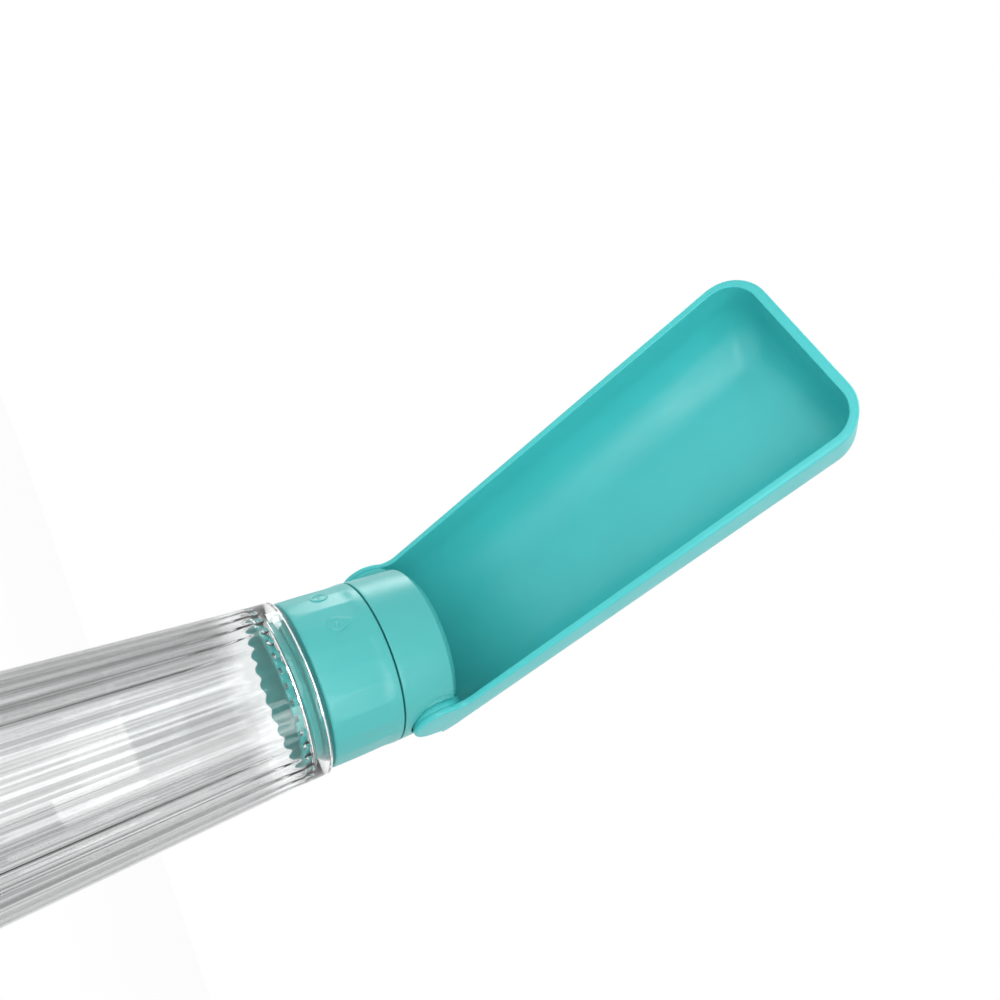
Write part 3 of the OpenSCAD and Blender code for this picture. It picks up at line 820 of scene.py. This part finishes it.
class BOTTLE_OT_spout(Operator):
    """Outlet nozzle and umbrella vent in the head's face"""

    bl_idname = "dog_bottle.spout"
    bl_label = "Outlet and vent"

    def execute(self, context):
        nozzle = [(4.6, 46.6), (6.65, 46.6), (6.65, 48.1), (6.05, 48.15), (6.05, 50.22),
                  (7.4, 50.22), (7.62, 50.34), (7.65, 50.6), (7.55, 50.95), (7.2, 51.5),
                  (6.9, 51.9), (6.6, 52.12), (6.2, 52.22), (5.3, 52.22), (4.95, 52.1),
                  (4.7, 51.85), (4.6, 51.5)]
        umbrella = [(0.9, 45.5), (2.1, 47.5), (2.1, 48.1), (1.5, 48.15), (1.5, 50.25), (4.1, 50.25),
                    (4.2, 50.4), (4.1, 50.7), (3.4, 51.05), (2.4, 51.3), (1.2, 51.45), (0.3, 51.48)]
        for name, profile, closed, y, node in (
                ("outlet_spout", nozzle, True, OUTLET_Y, "outlet_nozzle"),
                ("vent_umbrella", umbrella, False, VENT_Y, "air_valve")):
            piece = turned(name, in_mm(profile, COLLAR_Z), SMALL_SIDES, closed)
            moved(piece, Matrix.Translation((0, y, 0)))
            smooth(piece, 35)
            dress(piece, "nozzle", "head", [node])
        return {"FINISHED"}


class BOTTLE_OT_trough(Operator):
    """Rigid trough with a rounded rim and two hinge ears"""

    bl_idname = "dog_bottle.trough"
    bl_label = "Trough"

    def execute(self, context):
        s = context.scene.trough_sizes
        axis = Vector((0, 0, 0))
        boss_x, plate_x = s.near_half_width - 0.0062, s.near_half_width - 0.0021
        tray, slope = self.shell(s)
        for turn_over in (False, True):
            plate = self.ear_plate(s, slope)
            boss = rod_x("boss", s.ear_radius - 0.0003, boss_x, plate_x, axis)
            self.finish_boss(boss, boss_x)
            hole = rod_x("hole", 0.00255, boss_x - 0.0002, plate_x + 0.0009, axis)
            for tool, operation in ((plate, "UNION"), (boss, "UNION"), (hole, "DIFFERENCE")):
                if turn_over:
                    turned_over(tool)
                combine(tray, tool, operation)
        combine(tray, self.stop(s), "UNION")
        moved(tray, Matrix.Translation(HINGE) @ Matrix.Rotation(s.lean, 4, "X"))
        even_out(tray)
        smooth(tray, 32)
        dress(tray, "trough", "trough", ["trough"])
        return {"FINISHED"}

    @staticmethod
    def finish_boss(boss, inner_x):
        """Bevel the boss's inner edge and turn it, so its points miss those of the plate."""
        with editing(boss):
            pick(boss, "EDGE", lambda e: all(abs(v.co.x - inner_x) < NEAR for v in e.verts))
            bpy.ops.mesh.bevel(offset=0.0004, segments=3)
        moved(boss, Matrix.Rotation(math.radians(1.3), 3, "X"))

    @staticmethod
    def shell(s):
        """Walls, rim and floor, pulled outline by outline, and how fast the sides spread.

        Y runs down and Z to the far end, from the hinge.
        """
        side_steps, corner_steps = 10, 14
        least_corner, corner_tightening = 0.003, 0.3

        def drawn_in(y, depth, r):
            """How far a wall has drawn in at a depth."""
            over = y - depth + r
            rounding = r - math.sqrt(max(0, r * r - over * over)) if over > 0 else 0
            return s.draft * y / depth + rounding

        def outline(x_near, y_near, y, inset, depth, side_r, end_r):
            """Points of one outline, from one near end round the far end to the other."""
            side_in, end_in = drawn_in(y, depth, side_r), drawn_in(y, depth, end_r)
            r = max(least_corner, s.corner - inset - corner_tightening * (side_in + end_in))
            side_inset = inset - max(0, inset - s.wall) * SIDE_RIM
            x_far = s.far_half_width - side_inset - side_in - r
            end = s.length - inset - end_in - r
            slope = 0.0  # of the side that touches the corner, found step by step
            for _ in range(6):
                slope = math.atan2(x_far + r * math.cos(slope) - x_near, end - r * math.sin(slope))
            touch = (x_far + r * math.cos(slope), end - r * math.sin(slope))
            points = []
            for i in range(side_steps):
                k = i / side_steps
                points.append((x_near + (touch[0] - x_near) * k,
                               y_near + (y - y_near) * k, touch[1] * k))
            for i in range(corner_steps + 1):
                a = -slope + (math.pi / 2 + slope) * i / corner_steps
                points.append((x_far + r * math.cos(a), y, end + r * math.sin(a)))
            points += [(x_far * k, y, end + r) for k in (0.5, 0)]
            return points + [(-x, y, z) for x, y, z in reversed(points[:-1])]

        def wall(shift, floor, tops):
            """Outlines of one side of the wall, from the rim's edge down to the floor."""
            near_d, near_r = s.near_depth - floor, s.near_round - shift
            side_r, end_r = s.side_round - shift, s.end_round - shift
            depth = s.far_depth - floor

            def at(x_near, y_near, y):
                thick = (s.rim_width - shift) * max(0, 1 - y / s.rim_fade)
                inset = shift and shift + thick
                return outline(x_near, y_near, y, inset, depth, side_r, end_r)

            for share in tops:
                yield at(s.near_half_width - shift, (near_d - near_r) * share,
                         (depth - side_r) * share)
            for degrees in range(0, 91, 6):
                across, down = (1 - f(math.radians(degrees)) for f in (math.cos, math.sin))
                yield at(s.near_half_width - shift - near_r * across,
                         near_d - near_r * down, depth - side_r * down)

        def edge(r, shift, far_shift, sign):
            """Outlines round one edge of the rim, from its side to its top."""
            for degrees in range(0, 91, 15):
                a = math.radians(degrees)
                across, y = sign * r * (1 - math.cos(a)), r * (1 - math.sin(a))
                yield outline(s.near_half_width - shift - across, y, y, far_shift + across,
                              s.far_depth, s.side_round, s.end_round)

        rings = list(wall(0, 0, (0.22, 0.4, 0.6, 0.8)))[::-1]
        rings += list(edge(s.rim_round, 0, 0, 1))
        rings += list(edge(s.lip_round, s.wall, s.rim_width, -1))[::-1]
        rings += list(wall(s.wall, s.floor, (0.15, 0.4, 0.7)))
        side = rings[len(rings) // 2 - 3][:side_steps + 1]
        slope = (side[-1][0] - side[0][0]) / side[-1][2]
        count = len(rings[0])
        deselect()
        bpy.ops.mesh.primitive_circle_add(vertices=count, radius=0.05)
        tray = named("trough_shell")
        with editing(tray):
            pick(tray, "EDGE", lambda e: {v.index for v in e.verts} == {0, count - 1})
            bpy.ops.mesh.delete(type="EDGE_FACE")
            bpy.ops.mesh.select_all(action="SELECT")
            for _ in rings[1:]:
                bpy.ops.mesh.extrude_edges_move(TRANSFORM_OT_translate={"value": (0, 0, 0.001)})
        places = (place for ring in rings for place in ring)
        for vertex, place in zip(tray.data.vertices, places, strict=True):
            vertex.co = place
        with editing(tray):
            for first in (0, count * (len(rings) - 1)):
                pick(tray, "VERT", lambda v: first <= v.index < first + count)
                bpy.ops.mesh.edge_face_add()
            pick(tray, "EDGE",
                 lambda e: e.is_boundary and all(abs(v.co.z) < NEAR for v in e.verts))
            bpy.ops.mesh.spin(steps=11, angle=s.near_sweep, center=(0, 0, 0), axis=(1, 0, 0))
            bpy.ops.mesh.edge_face_add()
        close_up(tray)
        return tray, slope

    @staticmethod
    def ear_plate(s, slope):
        """Ear in the plane of the wall: a hollow curve up from the rim, then round."""
        r, fillet = s.ear_radius, s.ear_fillet
        reach = math.sqrt((r + fillet) ** 2 - fillet ** 2)
        meet = math.degrees(math.atan2(fillet, reach))
        heel = r + 0.0025
        behind = 90 + math.degrees(s.near_sweep)
        points = arc(reach, -fillet, fillet, 90, 180 - meet, 14)
        points += arc(0, 0, r, -meet - 3, behind + math.degrees(math.acos(r / heel)) - 360, 60)
        turn, root = math.radians(behind), reach + 0.004
        points += [(heel * math.cos(turn), heel * math.sin(turn)), (0.0005, r + 0.001),
                   (reach, r), (root, 0.004), (root, 0)]
        deselect()
        bpy.ops.mesh.primitive_circle_add(vertices=len(points), radius=0.01, fill_type="NGON")
        plate = named("ear_plate")
        for vertex, (z, y) in zip(plate.data.vertices, points, strict=True):
            vertex.co = (0, y, z)
        thickness = s.wall + 0.00004
        spread = (s.rim_width - s.wall) * SIDE_RIM / (s.length - s.corner)

        def inside_wall(vertex):
            """Whether the trough's wall hides the point, so that its edges stay sharp."""
            _, y, z = vertex.co
            return y > 0.003 and z > -0.008 or z > reach + 0.003

        with editing(plate):
            bpy.ops.mesh.extrude_region_move(TRANSFORM_OT_translate={"value": (thickness, 0, 0)})
            face_outward()
            for face_x, size in ((thickness, s.rim_round), (0, s.lip_round)):
                pick(plate, "EDGE", lambda e: not all(map(inside_wall, e.verts)) and all(
                    abs(v.co.x - face_x) < NEAR for v in e.verts))
                bpy.ops.mesh.bevel(offset=size, segments=5, profile=0.5)

        def slant(point):
            """Follow the wall's spread beyond the hinge, with a soft start."""
            along = (math.sqrt(point.z ** 2 + 0.002 ** 2) + point.z) / 2
            lean = along * (slope - spread * (point.x < thickness / 2))
            return point + Vector((s.near_half_width + 0.00002 - thickness + lean, 0, 0))

        reshape(plate, slant)
        return plate

    @staticmethod
    def stop(s):
        """Rib that meets the head's face when the trough is open."""
        width, thickness, sunk = 0.012, math.radians(4), 0.001
        low, high = s.stop_radius, s.near_depth - sunk
        deselect()
        bpy.ops.mesh.primitive_plane_add(size=1, location=(0, (low + high) / 2, 0))
        obj = bpy.context.object
        obj.scale = (width, high - low, 1)
        obj = named("stop")
        moved(obj, Matrix.Rotation(-s.stop_angle, 3, "X"))
        with editing(obj):
            bpy.ops.mesh.spin(steps=4, angle=-thickness, center=(0, 0, 0), axis=(1, 0, 0))
        close_up(obj)
        return obj


class BOTTLE_OT_inner_parts(Operator):
    """Finishes on the parts that stay as the frame has them"""

    bl_idname = "dog_bottle.inner_parts"
    bl_label = "Inner parts"

    def execute(self, context):
        for material, slot, names in (
                ("white", "white_plastic", ("valve_seat", "valve_disc", "funnel")),
                ("seal", "black_silicone", ("seat_seal", "funnel_seal", "friction_washer_left",
                                            "friction_washer_right")),
                ("steel", "steel", ("centre_screw", "spring_washer", "hinge_pin_left",
                                    "hinge_pin_right")),
                ("shell", "teal_plastic", ("clip_ring",))):
            for name in names:
                dress(frame["nodes"][name], material)
        return {"FINISHED"}


class BOTTLE_OT_stage(Operator):
    """Pale floor, soft light and camera"""

    bl_idname = "dog_bottle.stage"
    bl_label = "Stage"

    def execute(self, context):
        self.floor()
        self.world(context.scene)
        self.lamps(context.scene)
        self.camera(context.scene)
        context.scene.view_settings.view_transform = "Standard"
        return {"FINISHED"}

    @staticmethod
    def floor():
        """Pale paper that looks white to the camera and through the bottle."""
        deselect()
        bpy.ops.mesh.primitive_plane_add(size=8)
        floor = named("floor")
        f = Finish("floor_paper")
        grey = f.mix(f.noise(40, 3), (0.86, 0.86, 0.86), (0.9, 0.9, 0.9))
        paper = f.plastic(Base_Color=grey, Roughness=0.9)
        glow = f.add("ShaderNodeEmission", None, {"Color": (1, 1, 1), "Strength": 1.045})
        seen = f.ray("Camera", "Glossy", "Transmission")
        floor.data.materials.append(f.done(f.blend(seen * 0.88, paper, glow)))

    @staticmethod
    def world(scene):
        """White where it is seen, and softer as a light."""
        scene.world = bpy.data.worlds.new("studio")
        f = Nodes(scene.world)
        soft, white = (
            f.add("ShaderNodeBackground", None, {"Color": (1, 1, 1), "Strength": strength})
            for strength in (0.45, 1.0))
        seen = f.ray("Camera", "Transmission", "Glossy")
        f.finish(f.blend(seen, soft, white), "ShaderNodeOutputWorld")

    @staticmethod
    def lamps(scene):
        """Area lamps, each with its place, what it points at, its size and its power."""
        look = (0, -0.03, 0.26)
        for name, place, target, width, height, energy in (
                ("key", (-1.15, -0.15, 0.6), look, 0.45, 0.45, 4.0),
                ("fill", (0.95, -0.6, 0.2), look, 0.6, 0.35, 2.6),
                ("front", (0.16, -0.44, 0.07), (0, -0.08, 0.26), 0.5, 0.1, 0.72),
                ("overhead", (0, -0.75, 1.3), (0, -0.55, 0), 1.2, 1.0, 9.0)):
            lamp = bpy.data.lights.new(name, "AREA")
            lamp.energy = energy
            lamp.shape = "RECTANGLE"
            lamp.size, lamp.size_y = width, height
            holder = bpy.data.objects.new(name, lamp)
            scene.collection.objects.link(holder)
            holder.location = place
            holder.visible_camera = False
            holder.rotation_mode = "QUATERNION"
            aim = Vector(target) - Vector(place)
            holder.rotation_quaternion = aim.to_track_quat("-Z", "Y")

    @staticmethod
    def camera(scene):
        """Camera beside and below the head, rolled so that the bottle lies across the view."""
        camera = bpy.data.cameras.new("camera")
        camera.sensor_width = 36
        camera.lens = 23.2708
        camera.shift_x = -0.13803
        camera.shift_y = 0.0632
        camera.clip_start = 0.01
        rig = bpy.data.objects.new("camera", camera)
        scene.collection.objects.link(rig)
        right = Vector((0.543156, -0.410064, 0.732687))
        up = Vector((-0.781704, -0.565480, 0.263008))
        back = Vector((0.306471, -0.715598, -0.627691))
        place = Matrix.Translation((0.115826, -0.272831, COLLAR_Z - 0.051153))
        rig.matrix_world = place @ Matrix((right, up, back)).transposed().to_4x4()
        scene.camera = rig


OPERATORS = (BOTTLE_OT_finishes, BOTTLE_OT_clear_bottle, BOTTLE_OT_gasket, BOTTLE_OT_plug,
             BOTTLE_OT_collar, BOTTLE_OT_head, BOTTLE_OT_spout, BOTTLE_OT_trough,
             BOTTLE_OT_inner_parts, BOTTLE_OT_stage)
STEPS = tuple(operator.bl_idname.partition(".")[2] for operator in OPERATORS)
GROUPS = {
    "bottle_sizes": BottleSizes,
    "collar_sizes": CollarSizes,
    "head_sizes": HeadSizes,
    "trough_sizes": TroughSizes,
    "bottle_colours": Colours,
}


class BOTTLE_PT_panel(Panel):
    """Lists the steps that build the bottle"""

    bl_label = "Dog Bottle"
    bl_idname = "BOTTLE_PT_panel"
    bl_space_type = "VIEW_3D"
    bl_region_type = "UI"
    bl_category = "Dog Bottle"

    def draw(self, context):
        for step in STEPS:
            self.layout.operator("dog_bottle." + step)
        for group in GROUPS:
            box = self.layout.box()
            box.label(text=group.replace("_", " ").capitalize())
            settings = getattr(context.scene, group)
            for prop in settings.__annotations__:
                box.prop(settings, prop)


CLASSES = (*GROUPS.values(), *OPERATORS, BOTTLE_PT_panel)


def register():
    """Register the add-on's classes and its settings on the scene."""
    for cls in CLASSES:
        bpy.utils.register_class(cls)
    for name, cls in GROUPS.items():
        setattr(bpy.types.Scene, name, PointerProperty(type=cls))


def unregister():
    """Undo register()."""
    for name in GROUPS:
        delattr(bpy.types.Scene, name)
    for cls in reversed(CLASSES):
        bpy.utils.unregister_class(cls)


def main():
    """Build the bottle step by step."""
    register()
    for step in STEPS:
        getattr(bpy.ops.dog_bottle, step)()
    deselect()


if __name__ == "__main__":
    main()
